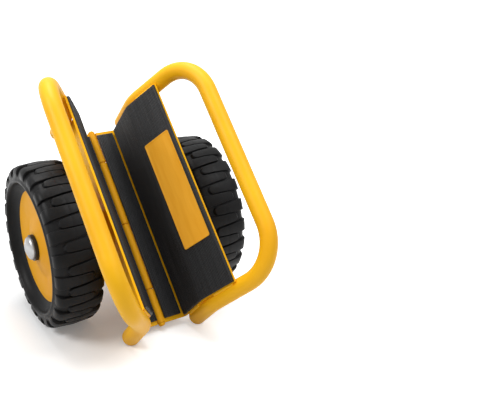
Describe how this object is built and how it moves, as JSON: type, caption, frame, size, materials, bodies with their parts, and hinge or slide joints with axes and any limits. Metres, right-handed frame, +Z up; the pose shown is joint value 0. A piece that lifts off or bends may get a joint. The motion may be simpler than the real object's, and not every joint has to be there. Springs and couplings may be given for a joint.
{
  "type": "door dolly",
  "caption": "Self-clamping door dolly: padded steel jaws hinged along the base tip in under a panel's weight; each has a tube handle and a lugged wheel.",
  "frame": {"origin": "on the floor, under the middle of the parked dolly's bounding box", "axes": "+Z up from the floor, +X along the axles to the right jaw, +Y towards the raised end; the dolly stands tipped about its axles on its wheels and front tube ends"},
  "size_m": [0.322, 0.3847, 0.3844],
  "materials": {
    "yellow_paint": "satin powder coat",
    "pad_rubber": "finely ribbed, matt",
    "tyre_rubber": "moulded, satin",
    "zinc_steel": "zinc plated",
    "bright_cap": "satin bright",
    "black_plastic": "matt"
  },
  "bodies": {
    "left_jaw": {"left_jaw_plate": "yellow_paint", "left_hinge_knuckles": "yellow_paint", "left_base_pad": "pad_rubber", "left_side_pad": "pad_rubber", "left_handle_tube": "yellow_paint", "left_tube_plugs": "yellow_paint", "left_frame_welds": "yellow_paint", "left_axle_bracket": "yellow_paint", "left_axle_boss": "yellow_paint", "left_stub_axle": "zinc_steel", "left_inner_washer": "black_plastic", "left_outer_washer": "black_plastic", "left_dome_cap": "bright_cap", "hinge_pin": "yellow_paint", "pin_retainers": "yellow_paint"},
    "right_jaw": {"right_jaw_plate": "yellow_paint", "right_hinge_knuckles": "yellow_paint", "right_base_pad": "pad_rubber", "right_side_pad": "pad_rubber", "right_handle_tube": "yellow_paint", "right_tube_plugs": "yellow_paint", "right_frame_welds": "yellow_paint", "right_axle_bracket": "yellow_paint", "right_axle_boss": "yellow_paint", "right_stub_axle": "zinc_steel", "right_inner_washer": "black_plastic", "right_outer_washer": "black_plastic", "right_dome_cap": "bright_cap"},
    "left_wheel": {"left_tyre": "tyre_rubber", "left_outer_disc": "yellow_paint", "left_inner_disc": "yellow_paint", "left_hub_tube": "zinc_steel", "left_hub_bearings": "black_plastic"},
    "right_wheel": {"right_tyre": "tyre_rubber", "right_outer_disc": "yellow_paint", "right_inner_disc": "yellow_paint", "right_hub_tube": "zinc_steel", "right_hub_bearings": "black_plastic"}
  },
  "joints": [
    {"name": "jaw_hinge", "type": "hinge", "parent": "left_jaw", "child": "right_jaw", "pos_m": [0, 0.06145, 0.13085], "axis": [0, -0.7, -0.7141], "range_deg": [-8, 50]},
    {"name": "left_wheel_spin", "type": "hinge", "parent": "left_jaw", "child": "left_wheel", "pos_m": [-0.12, 0.06538, 0.127], "axis": [1, 0, 0], "continuous": true},
    {"name": "right_wheel_spin", "type": "hinge", "parent": "right_jaw", "child": "right_wheel", "pos_m": [0.12, 0.06538, 0.127], "axis": [1, 0, 0], "continuous": true}
  ]
}
